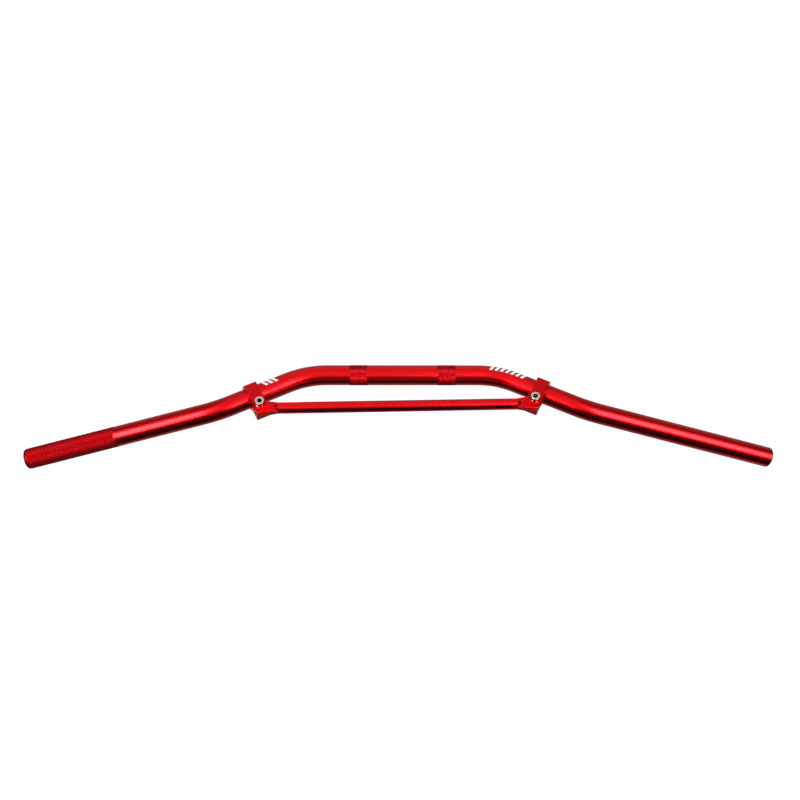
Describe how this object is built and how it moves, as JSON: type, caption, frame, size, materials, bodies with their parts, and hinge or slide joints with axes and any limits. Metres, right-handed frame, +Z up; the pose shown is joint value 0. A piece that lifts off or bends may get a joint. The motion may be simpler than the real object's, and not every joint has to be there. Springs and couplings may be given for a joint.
{
  "type": "motorcycle handlebar",
  "caption": "Bent tubular motorcycle handlebar with a rise, swept-back grip ends, knurled grip and clamp zones and a clamped-on crossbar.",
  "frame": {"origin": "on the tube's axis at the middle of its centre stretch, where the stem clamps hold it", "axes": "+X to the rider's right along the centre stretch, +Y forward, +Z up with the risers upright"},
  "size_m": [0.8239, 0.0711, 0.1049],
  "materials": {
    "anodised_tube": "satin red anodised aluminium",
    "anodised_crossbar": "satin red anodised aluminium",
    "anodised_clamp": "bead-blasted red anodised aluminium",
    "plated_steel": "bright zinc-plated steel",
    "printed_mark": "printed white ink"
  },
  "bodies": {
    "root": {"main_tube": "anodised_tube", "crossbar": "anodised_crossbar", "left_crossbar_clamp": "anodised_clamp", "left_clamp_screw": "plated_steel", "right_crossbar_clamp": "anodised_clamp", "right_clamp_screw": "plated_steel"}
  },
  "joints": []
}
